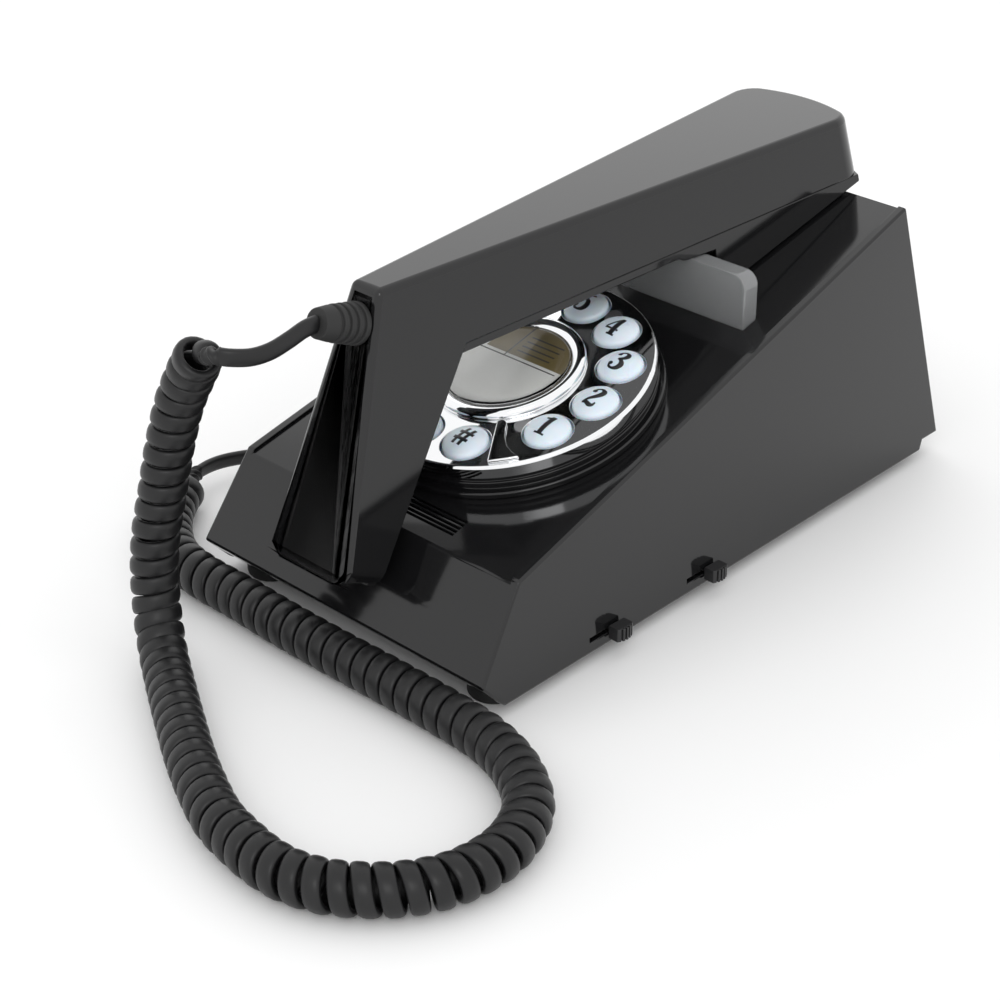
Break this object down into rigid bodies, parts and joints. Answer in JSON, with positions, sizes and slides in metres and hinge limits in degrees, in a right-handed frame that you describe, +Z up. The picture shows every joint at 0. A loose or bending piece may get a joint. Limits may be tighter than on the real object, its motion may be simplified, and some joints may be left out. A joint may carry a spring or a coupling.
{
  "type": "push-button desk telephone",
  "caption": "Slim wedge-shaped desk telephone with a round push-button dial, an angled handset resting over it on a clear cradle bar, and a curly cord.",
  "frame": {"origin": "on the table, under the middle of the telephone's box without its cord", "axes": "+X to the telephone's right seen from its front, +Y to its back, +Z up"},
  "size_m": [0.201, 0.2894, 0.1058],
  "materials": {
    "black_gloss": "polished black moulded plastic",
    "black_matt": "fine-textured black moulded plastic",
    "rubber": "soft black rubber",
    "cord": "satin black flexible sheath",
    "chrome": "bright chrome plate",
    "button_white": "pale blue-white translucent cap with a black numeral",
    "clear_plastic": "clear polished acrylic",
    "card": "printed card, cream with a gold sector",
    "steel": "zinc-plated steel",
    "weight": "rough cast weight",
    "board": "green circuit board",
    "membrane": "pale silicone rubber"
  },
  "bodies": {
    "base": {"base_shell": "black_gloss", "base_plate": "black_matt", "rubber_feet": "rubber", "base_screws": "steel", "base_weight": "weight", "dial_housing": "black_gloss", "dial_bezel": "chrome", "finger_stop": "chrome", "centre_ring": "chrome", "centre_card": "card", "centre_lens": "clear_plastic", "button_guide": "black_matt", "keypad_membrane": "membrane", "keypad_board": "board", "keypad_screws": "steel", "cradle_guide": "black_matt", "cradle_spring": "steel", "cradle_screws": "steel", "hook_switch": "black_matt", "main_board": "board", "board_screws": "steel", "ringer": "black_matt", "volume_switch": "steel", "mode_switch": "steel", "line_socket": "black_matt", "cord_gland": "rubber", "coil_cord": "cord", "base_lead": "cord"},
    "handset": {"handset_cover": "black_gloss", "leg_cover": "black_gloss", "handset_back": "black_gloss", "earpiece": "black_matt", "microphone": "steel", "handset_weight": "weight", "handset_board": "board", "handset_screws": "steel", "cord_boot": "rubber", "handset_lead": "cord"},
    "cradle": {"cradle_bar": "clear_plastic"},
    "volume_slider": {"volume_tab": "black_matt"},
    "mode_slider": {"mode_tab": "black_matt"},
    "button_1_key": {"button_1": "button_white"},
    "button_2_key": {"button_2": "button_white"},
    "button_3_key": {"button_3": "button_white"},
    "button_4_key": {"button_4": "button_white"},
    "button_5_key": {"button_5": "button_white"},
    "button_6_key": {"button_6": "button_white"},
    "button_7_key": {"button_7": "button_white"},
    "button_8_key": {"button_8": "button_white"},
    "button_9_key": {"button_9": "button_white"},
    "button_0_key": {"button_0": "button_white"},
    "button_star_key": {"button_star": "button_white"},
    "button_hash_key": {"button_hash": "button_white"}
  },
  "joints": [
    {"name": "handset_lift", "type": "slide", "parent": "base", "child": "handset", "axis": [0, 0, 1], "range_m": [0, 0.075]},
    {"name": "cradle_rise", "type": "slide", "parent": "base", "child": "cradle", "axis": [0, 0, 1], "range_m": [0, 0.003], "deforming": ["cradle_spring"]},
    {"name": "volume_slide", "type": "slide", "parent": "base", "child": "volume_slider", "axis": [0, 1, 0], "range_m": [-0.0065, 0]},
    {"name": "mode_slide", "type": "slide", "parent": "base", "child": "mode_slider", "axis": [0, 1, 0], "range_m": [-0.0065, 0]},
    {"name": "button_1_press", "type": "slide", "parent": "base", "child": "button_1_key", "axis": [0, 0.2756, -0.9613], "range_m": [0, 0.0018], "stiffness_N_per_m": 150, "springref_m": -0.0005},
    {"name": "button_2_press", "type": "slide", "parent": "base", "child": "button_2_key", "axis": [0, 0.2756, -0.9613], "range_m": [0, 0.0018], "stiffness_N_per_m": 150, "springref_m": -0.0005},
    {"name": "button_3_press", "type": "slide", "parent": "base", "child": "button_3_key", "axis": [0, 0.2756, -0.9613], "range_m": [0, 0.0018], "stiffness_N_per_m": 150, "springref_m": -0.0005},
    {"name": "button_4_press", "type": "slide", "parent": "base", "child": "button_4_key", "axis": [0, 0.2756, -0.9613], "range_m": [0, 0.0018], "stiffness_N_per_m": 150, "springref_m": -0.0005},
    {"name": "button_5_press", "type": "slide", "parent": "base", "child": "button_5_key", "axis": [0, 0.2756, -0.9613], "range_m": [0, 0.0018], "stiffness_N_per_m": 150, "springref_m": -0.0005},
    {"name": "button_6_press", "type": "slide", "parent": "base", "child": "button_6_key", "axis": [0, 0.2756, -0.9613], "range_m": [0, 0.0018], "stiffness_N_per_m": 150, "springref_m": -0.0005},
    {"name": "button_7_press", "type": "slide", "parent": "base", "child": "button_7_key", "axis": [0, 0.2756, -0.9613], "range_m": [0, 0.0018], "stiffness_N_per_m": 150, "springref_m": -0.0005},
    {"name": "button_8_press", "type": "slide", "parent": "base", "child": "button_8_key", "axis": [0, 0.2756, -0.9613], "range_m": [0, 0.0018], "stiffness_N_per_m": 150, "springref_m": -0.0005},
    {"name": "button_9_press", "type": "slide", "parent": "base", "child": "button_9_key", "axis": [0, 0.2756, -0.9613], "range_m": [0, 0.0018], "stiffness_N_per_m": 150, "springref_m": -0.0005},
    {"name": "button_0_press", "type": "slide", "parent": "base", "child": "button_0_key", "axis": [0, 0.2756, -0.9613], "range_m": [0, 0.0018], "stiffness_N_per_m": 150, "springref_m": -0.0005},
    {"name": "button_star_press", "type": "slide", "parent": "base", "child": "button_star_key", "axis": [0, 0.2756, -0.9613], "range_m": [0, 0.0018], "stiffness_N_per_m": 150, "springref_m": -0.0005},
    {"name": "button_hash_press", "type": "slide", "parent": "base", "child": "button_hash_key", "axis": [0, 0.2756, -0.9613], "range_m": [0, 0.0018], "stiffness_N_per_m": 150, "springref_m": -0.0005}
  ],
  "couplings": [
    {"joint": "cradle_rise", "follows": "handset_lift", "ratio": 0.04}
  ]
}
